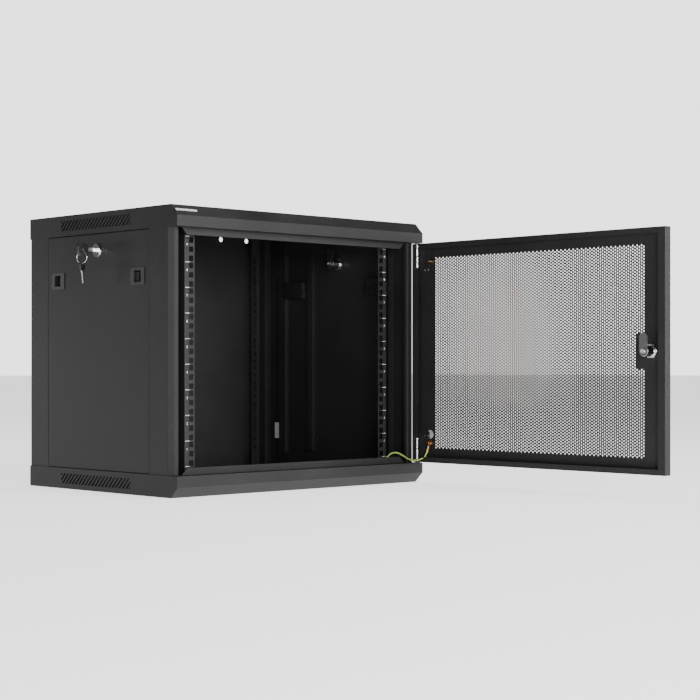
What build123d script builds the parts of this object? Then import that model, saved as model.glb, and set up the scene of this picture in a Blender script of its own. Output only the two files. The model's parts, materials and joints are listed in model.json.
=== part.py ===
from build123d import *
import os
from math import cos, pi, radians, sin, tan

os.makedirs("parts", exist_ok=True)

# ---------------------------------------------------------------------------
# Wall-mounted 19 inch equipment cabinet, in millimetres.
# +X is the cabinet's right, +Y its back, +Z up. The origin is the middle of the base.
# The door is modelled standing open at a right angle.
# ---------------------------------------------------------------------------

# Overall sizes
rack_units = 9
unit_pitch = 44.45
rail_margin = 12.475                      # free height above and below the stack of units
width = 600.0
depth = 450.0
tray_height = 38.0                        # height of the top and bottom frame
sheet = 1.2                               # steel sheet
bend_radius = 1.6                         # outer radius of a folded edge
seam = 0.3                                # gap beside a piece that slides into place
thread_fit = 0.05                         # radial room round a screw or a rivet

# Top and bottom frame
bevel = 19.0                              # slope along the front edge
seat_depth = 23.0                         # front flange, back to the lip behind the door
lip_height = 12.0
lip_end = 28.0                            # lip's end, in from the cabinet's side
vent_pitch = 10.3
vent_slot = 3.5
vent_margin = 9.5                         # solid strip above and below the slots
vent_from_front = 133.0
vent_from_back = 104.0
hook_hole = 10.0
hook_hole_spans = (163.6, 232.7)          # hanging holes, each side of the middle
hook_hole_drop = 13.6
fan_pitch = 105.0                         # screw square of a 120 mm fan
fan_opening = 108.0
fan_hole = 4.5
fan_x = 120.0
fan_y = -25.0
fan_slot = 5.0
fan_slot_pitch = 9.0
cable_entry = (220.0, 60.0)
cable_cover = (244.0, 84.0)
cable_entry_inset = 62.0                  # entry's middle, in from the back
cover_screw_inset = 6.0
badge = (46.0, 4.6, 0.4)
badge_inset = 27.0                        # badge's middle, in from the left side

# Corner posts
panel_front_inset = 80.0                  # side panel's front edge
panel_back_inset = 60.0
nose_inset = 17.7                         # post's foremost corner, behind the closed door
post_chamfer = 11.0
nose_step = 5.0
front_flange = 8.5
front_return = 8.3
post_fold = 10.0
rear_return = 21.0
rear_flange = 43.5
wall_hole = 9.0
wall_hole_inset = 20.0
wall_hole_rise = 165.5                    # above and below the middle
tab_width = 36.0
tab_margin = 4.0
tab_screw_inset = 14.0

# Equipment rails
front_rail_inset = 47.4
rear_rail_inset = 25.6
rail_hole_span = 465.1                    # hole centres of the 19 inch standard
rail_opening = 450.0
rail_flange = 22.0
rail_web = 20.0
rail_hole = 9.5
unit_holes = (6.35, 22.225, 38.1)         # hole heights in one unit
rail_foot = 38.0
rail_screw_inset = 9.0

# Back panel and side panels
back_panel_lap = 13.0                     # overlap on the rear posts' flanges
back_panel_rise = 6.0                     # overlap inside the frames' rear skirts
rivet = 4.0
rivet_head = 7.0
rivet_head_height = 1.2
back_rivet_rows = 4
panel_gap = 0.5
panel_fold = 12.0
stiffener_inset = 136.0                   # middle of the stiffener, in from the back
stiffener_width = 26.0
stiffener_crown = 16.0
stiffener_depth = 8.0

# Screws
frame_screw = 6.0
frame_screw_head = (11.0, 3.6)
small_screw = 4.0
small_screw_head = (7.6, 2.4)

# Door
door_thickness = 16.0
door_gap = 2.0                            # above and below the door
hinge_inset = 8.0                         # pivot, in from the cabinet's side
hinge_edge = 6.0                          # from the pivot to the hinge edge
door_end_gap = 5.0                        # closed door to the cabinet's left side
door_side_lip = 15.0
door_end_lip = 10.0
end_lip_start = 24.0                      # end lips begin here, clear of the wire and the hinges
mesh_hinge_margin = 41.0                  # plain band from the pivot to the perforated field
mesh_free_margin = 53.0
mesh_end_margin = 26.0
mesh_notch = (18.6, 58.8)                 # plain patch round the lock
hinge_pin = 6.0
hinge_fit = 0.05
hinge_window = 52.0                       # notch in the lip that shows the pin
bush_body = 8.6
bush_flange = (11.0, 1.0)
bracket_sheet = 1.6
bracket_width = 32.0
bracket_height = 58.0
hinge_ear_gap = 21.0
hinge_rivets_u = (15.6, 24.4)
hinge_rivet_rise = 49.0
pin_tail = 20.0                           # pin beyond the bracket's inner ear
pin_reach = 4.0                           # pin into the frame
pin_collar = (9.0, 3.0)

# Earth studs, nuts and lugs
earth_stud = 5.0
earth_stud_length = 14.0
earth_nut = 8.0                           # across the flats
earth_nut_height = 4.0
lug_sheet = 0.8
lug_ring = 9.6
lug_barrel = (4.6, 9.0)
lug_reach = 6.0                           # from the stud to the barrel
door_lug_stand = 8.8                      # lug's middle, in from the door's skin
door_stud_reach = 35.0
door_stud_rises = (39.6, 36.5)            # lower and upper stud, from the frames' flanges
door_lug_angle = 20.0
cabinet_stud = (219.0, -187.5)

# Locks
lock_head = (25.0, 2.5)
lock_body = 19.0
lock_depth = 24.8                         # a panel's outer face to the end of the lock
lock_plug = 12.6
lock_nut = 23.0                           # across the flats
lock_nut_height = 4.0
lock_fit = 0.05
cam_width = 17.0
cam_length = 40.0
cam_sheet = 1.6
cam_gap = 0.2
tang = 7.0
tang_fit = 0.05
cam_screw_head = (9.0, 2.6)
strike_gap = 1.0
door_lock_inset = 38.0                    # lock's axis, in from the door's free edge
side_lock_drop = 30.5                     # below the top frame
side_strike = (270.0, 9.0)                # length, and how far it reaches past a frame's edge
key_blade = (2.0, 7.4)
key_fit = 0.3
key_insertion = 20.0
key_head = (22.0, 24.0, 5.0)
key_neck = 17.0
key_hole = 7.0
key_hole_inset = 9.0                      # in from the head's far edge
key_hole_drop = 1.9                       # below the lock's axis
spare_hole_rim = 2.2                      # plastic above the spare key's hole
key_ring = 20.4                           # middle of its wire
key_ring_wire = 1.6
ring_gap = 0.8
key_ring_turn = -25.0                     # ring's turn about the vertical
spare_head = (15.0, 17.0, 4.0)
spare_blade = 24.0
spare_tilt = -10.0

# Slide latches of the side panels
latch_inset = 33.0                        # each latch, in from the panel's edge
latch_drop = 81.5                         # below the top frame
latch_bezel = (40.0, 30.0, 1.4)
latch_cutout = (36.0, 26.0)
latch_box = (55.0, 33.0, 16.0)
latch_pocket = 20.0
latch_bar = (3.0, 12.0)
latch_pull = (9.0, 16.0)
latch_travel = 8.0
latch_hook = 5.0                          # reach of the tongue past the post's fold
latch_fit = 0.25

# Earth wire, as it hangs from the door to the base
wire_diameter = 3.2
wire_points = [
    (290, -246.8, 63.3),
    (290, -242.2, 50.7),
    (286.5, -230.5, 44.6),
    (281.5, -219, 42.9),
    (275.5, -209.5, 44.6),
    (270, -201, 51.5),
    (262, -194.5, 57.4),
    (250.5, -190.5, 58),
    (239.5, -188.6, 51.5),
    (232, -187.8, 40.5),
    (228.6, -187.5, 28),
    (228, -187.5, 15.7),
]

# Derived sizes and places
body_low = tray_height
body_high = tray_height + rack_units * unit_pitch + 2 * rail_margin
height = body_high + tray_height
mid_z = height / 2
side_x = width / 2
inner_x = side_x - sheet
post_x = inner_x - seam                   # outer face of posts and side panels
front_y = -depth / 2
back_y = depth / 2
seat_y = front_y + seat_depth             # front face of the lips
flange_y = back_y - sheet - seam          # rear face of the rear posts
panel_front = front_y + panel_front_inset
panel_back = back_y - panel_back_inset
side_lock_y = (panel_front + panel_back) / 2
latch_spread = (panel_back - panel_front) / 2 - latch_inset
vent_front = front_y + vent_from_front
vent_back = back_y - vent_from_back
cable_entry_y = back_y - cable_entry_inset
wall_hole_x = side_x - wall_hole_inset
lip_half_width = side_x - lip_end

front_rail_y = front_y + front_rail_inset
rear_rail_y = back_y - rear_rail_inset
rail_inner_x = rail_opening / 2
rail_outer_x = rail_inner_x + rail_flange
unit_low = body_low + rail_margin

front_tab_y = (seat_y + sheet + tab_margin, panel_front - tab_margin)
rear_tab_y = (panel_back + tab_margin, flange_y - tab_margin)
tab_inner_x = post_x - tab_width
tab_screw_x = tab_inner_x + tab_screw_inset
tab_screws_xy = [
    (side * tab_screw_x, y)
    for side in (-1, 1)
    for tab in (front_tab_y, rear_tab_y)
    for y in (tab[0] + tab_screw_inset, tab[1] - tab_screw_inset)
]
rail_screw_y = [
    rail_y + way * reach
    for rail_y, way in ((front_rail_y, 1), (rear_rail_y, -1))
    for reach in (rail_screw_inset, rail_foot - rail_screw_inset)
]
rail_screws_xy = [
    (side * (rail_inner_x + rail_flange / 2), y) for side in (-1, 1) for y in rail_screw_y
]
cover_screws_xy = [
    (
        across * (cable_cover[0] / 2 - cover_screw_inset),
        cable_entry_y + along * (cable_cover[1] / 2 - cover_screw_inset),
    )
    for across in (-1, 1)
    for along in (-1, 1)
]

back_panel_half = post_x - rear_flange + back_panel_lap
back_rivet_x = back_panel_half - back_panel_lap / 2
back_rivet_z = [
    body_low + (index + 0.5) * (body_high - body_low) / back_rivet_rows
    for index in range(back_rivet_rows)
]

# The door's own plane: x runs from the pivot to the free edge, y to the outer face.
pivot_x = side_x - hinge_inset
pivot_y = front_y + door_thickness / 2
half_door = door_thickness / 2
door_low = body_low + door_gap
door_high = body_high - door_gap
door_reach = pivot_x + side_x - door_end_gap
door_skin = half_door - sheet             # inner side of the door's skin
door_lock_u = door_reach - door_lock_inset
door_plane = Plane(origin=(pivot_x, pivot_y, 0), x_dir=(0, -1, 0), z_dir=(0, 0, 1))
door_studs_z = (body_low + door_stud_rises[0], body_high - door_stud_rises[1])

cam_reach = cam_length - cam_width / 2    # lock's axis to the cam's tip
cam_place = lock_depth + cam_gap          # a panel's outer face to the cam
door_cam_y = front_y + cam_place + cam_sheet / 2
side_lock_z = body_high - side_lock_drop
side_cam_x = post_x - cam_place - cam_sheet
strike_plate_x = side_cam_x + cam_sheet + strike_gap
latch_z = body_high - latch_drop

pieces = {}


def mirror_x(points, side):
    """Points given for the right-hand side, moved to the side asked for."""
    return [(side * x, y) for x, y in points]


def frame_z(rise, top):
    """Height of a level counted from the flat face of the top or bottom frame."""
    return height - rise if top else rise


def level(rise, thickness, top):
    """Plane under a plate of this thickness, counted from a frame's flat face."""
    return Plane.XY.offset(frame_z(rise + thickness, top) if top else rise)


def keep(name, piece):
    """Label a finished piece and write its file."""
    piece.label = name
    pieces[name] = piece
    export_step(piece, f"parts/{name}.step")


def screw_group(name, places, length, shank, head):
    """Pan-head screws: each shank starts at its place, its head stands at the far end."""
    across, rise = head
    with BuildPart() as screws:
        for place in places:
            with BuildSketch(place):
                Circle(shank / 2)
            extrude(amount=length)
            with BuildSketch(place.offset(length)):
                Circle(across / 2)
            extrude(amount=rise, taper=12)
            with BuildSketch(place.offset(length + rise)):
                Rectangle(across * 0.6, across * 0.13)
                Rectangle(across * 0.13, across * 0.6)
            extrude(amount=-rise * 0.5, mode=Mode.SUBTRACT)
    keep(name, screws.part)


# ---------------------------------------------------------------------------
# Top and bottom frame: folded trays with a sloped front edge
# ---------------------------------------------------------------------------


def make_frame(name, top):
    """One tray, open towards the inside of the cabinet."""
    inner_slope = sheet * tan(radians(22.5))
    vent_height = tray_height - 2 * vent_margin
    with BuildPart() as tray:
        with BuildSketch(Plane.YZ.offset(-side_x)):
            with BuildLine():
                Polyline(
                    (back_y, frame_z(0, top)),
                    (front_y + bevel, frame_z(0, top)),
                    (front_y, frame_z(bevel, top)),
                    (front_y, frame_z(tray_height, top)),
                    (back_y, frame_z(tray_height, top)),
                    close=True,
                )
            make_face()
        extrude(amount=width)
        layers = tray.edges().group_by(Axis.Z)
        fillet(tray.edges() - (layers[0] if top else layers[-1]), bend_radius)
        with BuildSketch(Plane.YZ.offset(-inner_x)):
            with BuildLine():
                Polyline(
                    (back_y - sheet, frame_z(sheet, top)),
                    (front_y + bevel + inner_slope, frame_z(sheet, top)),
                    (front_y + sheet, frame_z(bevel + inner_slope, top)),
                    (front_y + sheet, frame_z(tray_height + 1, top)),
                    (back_y - sheet, frame_z(tray_height + 1, top)),
                    close=True,
                )
            make_face()
        extrude(amount=2 * inner_x, mode=Mode.SUBTRACT)
        # flange over the door, and the lip that the door shuts against
        with BuildSketch(level(tray_height - sheet, sheet, top)):
            with Locations((0, (front_y + seat_y + sheet) / 2)):
                Rectangle(2 * inner_x + sheet, seat_depth)
        extrude(amount=sheet)
        with BuildSketch(Plane.XZ.offset(-seat_y - sheet)):
            with BuildLine():
                Polyline(
                    (-lip_half_width, frame_z(tray_height - sheet, top)),
                    (lip_half_width, frame_z(tray_height - sheet, top)),
                    (lip_half_width, frame_z(tray_height, top)),
                    (lip_half_width - lip_height, frame_z(tray_height + lip_height, top)),
                    (lip_height - lip_half_width, frame_z(tray_height + lip_height, top)),
                    (-lip_half_width, frame_z(tray_height, top)),
                    close=True,
                )
            make_face()
        extrude(amount=sheet)
        # slanted vents through both sides
        with BuildSketch(Plane.YZ.offset(-side_x - 1)):
            vent_low = frame_z(tray_height / 2, top) - vent_height / 2
            along = vent_slot / sin(radians(45))
            for index in range(int((vent_back - vent_front + vent_height) / vent_pitch) + 1):
                foot = vent_front + index * vent_pitch
                with BuildLine():
                    Polyline(
                        (foot, vent_low),
                        (foot + along, vent_low),
                        (foot + along - vent_height, vent_low + vent_height),
                        (foot - vent_height, vent_low + vent_height),
                        close=True,
                    )
                make_face()
            with Locations(((vent_front + vent_back) / 2, frame_z(tray_height / 2, top))):
                Rectangle(vent_back - vent_front, vent_height, mode=Mode.INTERSECT)
        extrude(amount=width + 2, mode=Mode.SUBTRACT)
        # screw holes and the cable entry
        with BuildSketch(level(0, sheet, top)):
            with Locations(*tab_screws_xy):
                Circle(frame_screw / 2 + thread_fit)
            with Locations(*rail_screws_xy, *cover_screws_xy):
                Circle(small_screw / 2 + thread_fit)
            with Locations((0, cable_entry_y)):
                Rectangle(*cable_entry)
            if not top:
                with Locations(cabinet_stud):
                    Circle(earth_stud / 2 + thread_fit)
        extrude(amount=sheet, mode=Mode.SUBTRACT)
        # hole for the hinge bush
        with BuildSketch(level(tray_height - sheet, sheet, top)):
            with Locations((pivot_x, pivot_y)):
                Circle(bush_body / 2 + thread_fit)
        extrude(amount=sheet, mode=Mode.SUBTRACT)
        if not top:
            # upstands inside the vents, opposite the strikes under the top frame
            with BuildSketch(level(sheet / 2, sheet, top)):
                for side in (-1, 1):
                    with Locations((side * (strike_plate_x + sheet / 2), side_lock_y)):
                        Rectangle(sheet, side_strike[0])
            extrude(amount=tray_height + side_strike[1] - sheet / 2)
        if top:
            for x in (-fan_x, fan_x):
                with BuildSketch(level(0, sheet, top)):
                    with Locations((x, fan_y)):
                        with GridLocations(0, fan_slot_pitch, 1, int(fan_opening / fan_slot_pitch)):
                            Rectangle(fan_opening, fan_slot)
                        Circle(fan_opening / 2, mode=Mode.INTERSECT)
                        Rectangle(fan_slot, fan_opening, mode=Mode.SUBTRACT)
                        with GridLocations(fan_pitch, fan_pitch, 2, 2):
                            Circle(fan_hole / 2)
                extrude(amount=sheet, mode=Mode.SUBTRACT)
            with BuildSketch(Plane.XZ.offset(-back_y)):
                for span in hook_hole_spans:
                    with Locations((-span, height - hook_hole_drop), (span, height - hook_hole_drop)):
                        Circle(hook_hole / 2)
            extrude(amount=sheet, mode=Mode.SUBTRACT)
    keep(name, tray.part)


make_frame("top_frame", top=True)
make_frame("bottom_frame", top=False)


def make_cable_cover(name, top):
    """Plate over the cable entry, inside the frame."""
    with BuildPart() as cover:
        with BuildSketch(level(sheet, sheet, top)):
            with Locations((0, cable_entry_y)):
                RectangleRounded(*cable_cover, 4)
            with Locations(*cover_screws_xy):
                Circle(small_screw / 2 + thread_fit, mode=Mode.SUBTRACT)
        extrude(amount=sheet)
    keep(name, cover.part)


make_cable_cover("top_cable_cover", top=True)
make_cable_cover("bottom_cable_cover", top=False)


def through_frame(places_xy):
    """Planes on the flat outer faces of both frames, looking inwards."""
    low = [Plane(origin=(x, y, 0)) for x, y in places_xy]
    high = [Plane(origin=(x, y, height), z_dir=(0, 0, -1)) for x, y in places_xy]
    return low + high


screw_group("cable_cover_screws", through_frame(cover_screws_xy), 2 * sheet, small_screw, small_screw_head)
screw_group("rail_screws", through_frame(rail_screws_xy), 2 * sheet, small_screw, small_screw_head)
screw_group("frame_screws", through_frame(tab_screws_xy), 2 * sheet, frame_screw, frame_screw_head)

# ---------------------------------------------------------------------------
# Corner posts: folded sections that stand inside the two frames
# ---------------------------------------------------------------------------

nose_y = front_y + nose_inset
nose_x = post_x - post_chamfer
strike_x = nose_x - front_flange          # inner edge of the front post
front_section = [
    (post_x - post_fold, panel_front),
    (post_x, panel_front),
    (post_x, nose_y + post_chamfer),
    (nose_x, nose_y),
    (nose_x, nose_y + nose_step),
    (strike_x, nose_y + nose_step),
    (strike_x, nose_y + nose_step + front_return),
]
front_bends = [bend_radius, bend_radius, bend_radius, 0.4, bend_radius]
rear_section = [
    (post_x - post_fold, panel_back + rear_return),
    (post_x - post_fold, panel_back),
    (post_x, panel_back),
    (post_x, flange_y),
    (post_x - rear_flange, flange_y),
]


def make_post(side, section, bends, thick_side, tab_y):
    """A post on the right (side 1) or the left (side -1), with a tab at each end."""
    with BuildPart() as post:
        with BuildSketch(Plane.XY.offset(sheet)):
            with BuildLine():
                FilletPolyline(*mirror_x(section, side), radius=bends)
                offset(amount=sheet, side=thick_side)
            make_face()
        extrude(amount=height - 2 * sheet)
        for top in (False, True):
            with BuildSketch(level(sheet, sheet, top)):
                with Locations((side * (tab_inner_x + post_x - sheet / 2) / 2, sum(tab_y) / 2)):
                    Rectangle(tab_width - sheet / 2, tab_y[1] - tab_y[0])
            extrude(amount=sheet)
            with BuildSketch(level(sheet, sheet, top)):
                with Locations(*tab_screws_xy):
                    Circle(frame_screw / 2 + thread_fit)
            extrude(amount=sheet, mode=Mode.SUBTRACT)
    return post


def finish_front_post(name, side):
    """The nose stops at the frames' flanges; the left post takes the door's cam."""
    thick_side = Side.RIGHT if side > 0 else Side.LEFT
    stock = make_post(side, front_section, front_bends, thick_side, front_tab_y)
    with BuildPart() as post:
        add(stock.part)
        for low, high in ((sheet, body_low), (body_high, height - sheet)):
            with BuildSketch(Plane.XY.offset(low)):
                with Locations((side * side_x, front_y + (seat_depth + sheet + seam) / 2)):
                    Rectangle(width / 4, seat_depth + sheet + seam)
            extrude(amount=high - low, mode=Mode.SUBTRACT)
        if side < 0:
            with BuildSketch(Plane.YZ.offset(-strike_x - 2 * sheet)):
                with Locations((door_cam_y, mid_z + (cam_reach - cam_width / 2) / 2)):
                    Rectangle(cam_sheet + 2 * strike_gap, cam_reach + cam_width / 2 + 2 * strike_gap)
            extrude(amount=3 * sheet, mode=Mode.SUBTRACT)
    keep(name, post.part)


def finish_rear_post(name, side):
    """Wall fixing holes and the back panel's rivet holes in the rear flange."""
    thick_side = Side.LEFT if side > 0 else Side.RIGHT
    stock = make_post(side, rear_section, bend_radius, thick_side, rear_tab_y)
    with BuildPart() as post:
        add(stock.part)
        with BuildSketch(Plane.XZ.offset(-flange_y)):
            for rise in (-wall_hole_rise, wall_hole_rise):
                with Locations((side * wall_hole_x, mid_z + rise)):
                    Circle(wall_hole / 2)
            with Locations(*[(side * back_rivet_x, z) for z in back_rivet_z]):
                Circle(rivet / 2 + thread_fit)
        extrude(amount=sheet, mode=Mode.SUBTRACT)
    keep(name, post.part)


finish_front_post("front_right_post", 1)
finish_front_post("front_left_post", -1)
finish_rear_post("rear_right_post", 1)
finish_rear_post("rear_left_post", -1)

# ---------------------------------------------------------------------------
# Back panel with its rivets, and the badge on the front slope
# ---------------------------------------------------------------------------

back_panel_y = flange_y - sheet           # rear face of the back panel
back_rivets_xz = [(side * back_rivet_x, z) for side in (-1, 1) for z in back_rivet_z]

with BuildPart() as back_panel:
    with BuildSketch(Plane.XZ.offset(-back_panel_y)):
        with Locations((0, mid_z)):
            Rectangle(2 * back_panel_half, body_high - body_low + 2 * back_panel_rise)
        with Locations(*back_rivets_xz):
            Circle(rivet / 2 + thread_fit, mode=Mode.SUBTRACT)
    extrude(amount=sheet)
keep("back_panel", back_panel.part)

with BuildPart() as back_rivets:
    with BuildSketch(Plane.XZ.offset(-flange_y)):
        with Locations(*back_rivets_xz):
            Circle(rivet / 2)
    extrude(amount=2 * sheet)
    with BuildSketch(Plane.XZ.offset(-flange_y + 2 * sheet)):
        with Locations(*back_rivets_xz):
            Circle(rivet_head / 2)
    extrude(amount=rivet_head_height, taper=35)
keep("back_panel_rivets", back_rivets.part)

slope_plane = Plane(
    origin=(badge_inset - side_x, front_y + bevel / 2, height - bevel / 2),
    x_dir=(1, 0, 0),
    z_dir=(0, -1, 1),
)
with BuildPart() as badge_plate:
    with BuildSketch(slope_plane):
        RectangleRounded(badge[0], badge[1], badge[1] / 3)
    extrude(amount=badge[2])
keep("badge_plate", badge_plate.part)

# ---------------------------------------------------------------------------
# Equipment rails with square holes
# ---------------------------------------------------------------------------


def make_rail(name, side, rail_y, way):
    """L-section rail: way 1 folds its web backwards, way -1 forwards."""
    far_web = rail_y + way * rail_web
    far_foot = rail_y + way * rail_foot
    with BuildPart() as rail:
        with BuildSketch(Plane.XY.offset(sheet)):
            with BuildLine():
                FilletPolyline(
                    (side * rail_inner_x, rail_y),
                    (side * rail_outer_x, rail_y),
                    (side * rail_outer_x, far_web),
                    radius=bend_radius,
                )
                offset(amount=sheet, side=Side.LEFT if side * way > 0 else Side.RIGHT)
            make_face()
        extrude(amount=height - 2 * sheet)
        for top in (False, True):
            with BuildSketch(level(sheet, sheet, top)):
                with Locations((side * (rail_inner_x + rail_outer_x) / 2, (rail_y + far_foot) / 2)):
                    Rectangle(rail_flange, rail_foot)
            extrude(amount=sheet)
            with BuildSketch(level(sheet, sheet, top)):
                with Locations(*rail_screws_xy):
                    Circle(small_screw / 2 + thread_fit)
            extrude(amount=sheet, mode=Mode.SUBTRACT)
        with BuildSketch(Plane.XZ.offset(-rail_y)):
            for unit in range(rack_units):
                for rise in unit_holes:
                    with Locations((side * rail_hole_span / 2, unit_low + unit * unit_pitch + rise)):
                        Rectangle(rail_hole, rail_hole)
        extrude(amount=-way * sheet, mode=Mode.SUBTRACT)
    keep(name, rail.part)


make_rail("front_right_rail", 1, front_rail_y, 1)
make_rail("front_left_rail", -1, front_rail_y, 1)
make_rail("rear_right_rail", 1, rear_rail_y, -1)
make_rail("rear_left_rail", -1, rear_rail_y, -1)

# ---------------------------------------------------------------------------
# Side panels: lift-off pans with a stiffener, a lock and two slide latches
# ---------------------------------------------------------------------------

latches_y = (side_lock_y - latch_spread, side_lock_y + latch_spread)
skin_x = post_x - sheet                   # inner side of a side panel's skin


def side_plane(side, reach):
    """Plane across X on one side: its x runs along +Y, its y along +Z."""
    return Plane.YZ.offset(side * reach)


def make_side_panel(name, side):
    """Pan folded inwards on all four edges."""
    low_z, high_z = body_low + panel_gap, body_high - panel_gap
    middle = ((panel_front + panel_back) / 2, mid_z)
    length = panel_back - panel_front - 2 * panel_gap
    with BuildPart() as panel:
        with BuildSketch(side_plane(side, post_x - panel_fold)):
            with Locations(middle):
                Rectangle(length, high_z - low_z)
        extrude(amount=side * panel_fold)
        outer_skin = panel.faces().sort_by(Axis.X)[-1 if side > 0 else 0]
        fillet(outer_skin.edges(), bend_radius)
        with BuildSketch(side_plane(side, post_x - panel_fold)):
            with Locations(middle):
                Rectangle(length - 2 * sheet, high_z - low_z - 2 * sheet)
        extrude(amount=side * (panel_fold - sheet), mode=Mode.SUBTRACT)
        with BuildSketch(side_plane(side, skin_x)):
            with Locations((side_lock_y, side_lock_z)):
                Circle(lock_body / 2 + thread_fit)
            with Locations(*[(y, latch_z) for y in latches_y]):
                Rectangle(*latch_cutout)
        extrude(amount=side * sheet, mode=Mode.SUBTRACT)
    keep(name, panel.part)


def make_stiffener(name, side):
    """Hat section welded upright to the inside of a side panel."""
    y = back_y - stiffener_inset
    low_z, high_z = body_low + panel_fold, body_high - panel_fold
    with BuildPart() as stiffener:
        with BuildSketch(Plane.XY.offset(low_z)):
            with BuildLine():
                Polyline(
                    (side * skin_x, y - stiffener_width / 2),
                    (side * (skin_x - sheet), y - stiffener_width / 2),
                    (side * (skin_x - sheet), y - stiffener_crown / 2),
                    (side * (skin_x - stiffener_depth), y - stiffener_crown / 2),
                    (side * (skin_x - stiffener_depth), y + stiffener_crown / 2),
                    (side * (skin_x - sheet), y + stiffener_crown / 2),
                    (side * (skin_x - sheet), y + stiffener_width / 2),
                    (side * skin_x, y + stiffener_width / 2),
                    (side * skin_x, y + stiffener_crown / 2 - sheet),
                    (side * (skin_x - stiffener_depth + sheet), y + stiffener_crown / 2 - sheet),
                    (side * (skin_x - stiffener_depth + sheet), y - stiffener_crown / 2 + sheet),
                    (side * skin_x, y - stiffener_crown / 2 + sheet),
                    close=True,
                )
            make_face()
        extrude(amount=high_z - low_z)
    keep(name, stiffener.part)


def make_strike(name, side):
    """Long angle under the top frame, outside the side lock's cam and inside the vents."""
    strike_width, strike_drop = side_strike
    with BuildPart() as strike:
        with BuildSketch(side_plane(side, strike_plate_x)):
            with Locations((side_lock_y, (height - sheet + body_high - strike_drop) / 2)):
                Rectangle(strike_width, tray_height + strike_drop - sheet)
        extrude(amount=side * sheet)
        with BuildSketch(level(sheet, sheet, True)):
            with Locations((side * (strike_plate_x - strike_drop / 2 + sheet / 2), side_lock_y)):
                Rectangle(strike_drop + sheet, strike_width)
        extrude(amount=sheet)
    keep(name, strike.part)


for side_name, side in (("left", -1), ("right", 1)):
    make_side_panel(f"{side_name}_panel", side)
    make_stiffener(f"{side_name}_panel_stiffener", side)
    make_strike(f"{side_name}_lock_strike", side)

# ---------------------------------------------------------------------------
# Slide latches: a housing clipped into the panel, and a slider with a tongue
# ---------------------------------------------------------------------------

housing_x = skin_x - latch_box[2]                      # innermost face of a housing
bar_x = housing_x + sheet + latch_fit                  # innermost face of the sliding bar
bar_out = bar_x + latch_bar[0]


def make_latch_housings(name, side):
    """Both housings of one panel: bezel outside, box inside, a channel for the bar."""
    with BuildPart() as housings:
        for y, way in zip(latches_y, (-1, 1)):
            with BuildSketch(side_plane(side, post_x)):
                with Locations((y, latch_z)):
                    RectangleRounded(latch_bezel[0], latch_bezel[1], 2)
            extrude(amount=side * latch_bezel[2])
            with BuildSketch(side_plane(side, skin_x)):
                with Locations((y, latch_z)):
                    Rectangle(latch_cutout[0] - latch_fit, latch_cutout[1] - latch_fit)
            extrude(amount=side * sheet)
            with BuildSketch(side_plane(side, skin_x)):
                with Locations((y, latch_z)):
                    Rectangle(latch_box[0], latch_box[1])
            extrude(amount=-side * latch_box[2])
            # finger pocket, the room the pull slides in, and the bar's channel
            with BuildSketch(side_plane(side, bar_out + latch_fit)):
                with Locations((y, latch_z)):
                    Rectangle(latch_pocket, latch_pocket)
            extrude(amount=side * (post_x + latch_bezel[2] - bar_out), mode=Mode.SUBTRACT)
            with BuildSketch(side_plane(side, bar_out - latch_fit)):
                with Locations((y - way * (latch_pocket / 4 + latch_travel / 2 + latch_fit), latch_z)):
                    Rectangle(latch_pocket / 2 + latch_travel + 2 * latch_fit, latch_pull[1] + 2 * latch_fit)
            extrude(amount=side * (skin_x - sheet - bar_out + latch_fit), mode=Mode.SUBTRACT)
            channel_in = latch_pocket / 2 + latch_travel + 2 * latch_fit
            channel_out = latch_box[0] / 2 + 1
            with BuildSketch(side_plane(side, bar_x - latch_fit)):
                with Locations((y + way * (channel_out - channel_in) / 2, latch_z)):
                    Rectangle(channel_out + channel_in, latch_bar[1] + 2 * latch_fit)
            extrude(amount=side * (latch_bar[0] + 2 * latch_fit), mode=Mode.SUBTRACT)
    keep(name, housings.part)


def make_slider(name, side, y, way):
    """Bar with its tongue behind the post's fold and a finger pull in the pocket."""
    fold_edge = panel_front if way < 0 else panel_back
    tongue = fold_edge + way * latch_hook
    tail = y - way * (latch_pocket / 2)
    with BuildPart() as slider:
        with BuildSketch(side_plane(side, bar_x)):
            with Locations(((tongue + tail) / 2, latch_z)):
                Rectangle(abs(tongue - tail), latch_bar[1])
        extrude(amount=side * latch_bar[0])
        with BuildSketch(side_plane(side, bar_out)):
            with Locations((y - way * (latch_pocket - latch_pull[0]) / 2, latch_z)):
                Rectangle(latch_pull[0], latch_pull[1])
        extrude(amount=side * (skin_x - bar_out - 2 * latch_fit - sheet))
        ends = slider.edges().filter_by(Axis.X).group_by(Axis.Y)
        chamfer(ends[0] if way < 0 else ends[-1], latch_bar[1] / 5)
    keep(name, slider.part)


for side_name, side in (("left", -1), ("right", 1)):
    make_latch_housings(f"{side_name}_latch_housings", side)
    for end_name, y, way in (("front", latches_y[0], -1), ("rear", latches_y[1], 1)):
        make_slider(f"{side_name}_{end_name}_latch", side, y, way)

# ---------------------------------------------------------------------------
# Cam locks: barrel and nut in the panel; plug, cam and screw turn in the barrel.
# A lock's place is a plane on the panel's outer face: z points outwards, y upwards.
# ---------------------------------------------------------------------------


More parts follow.
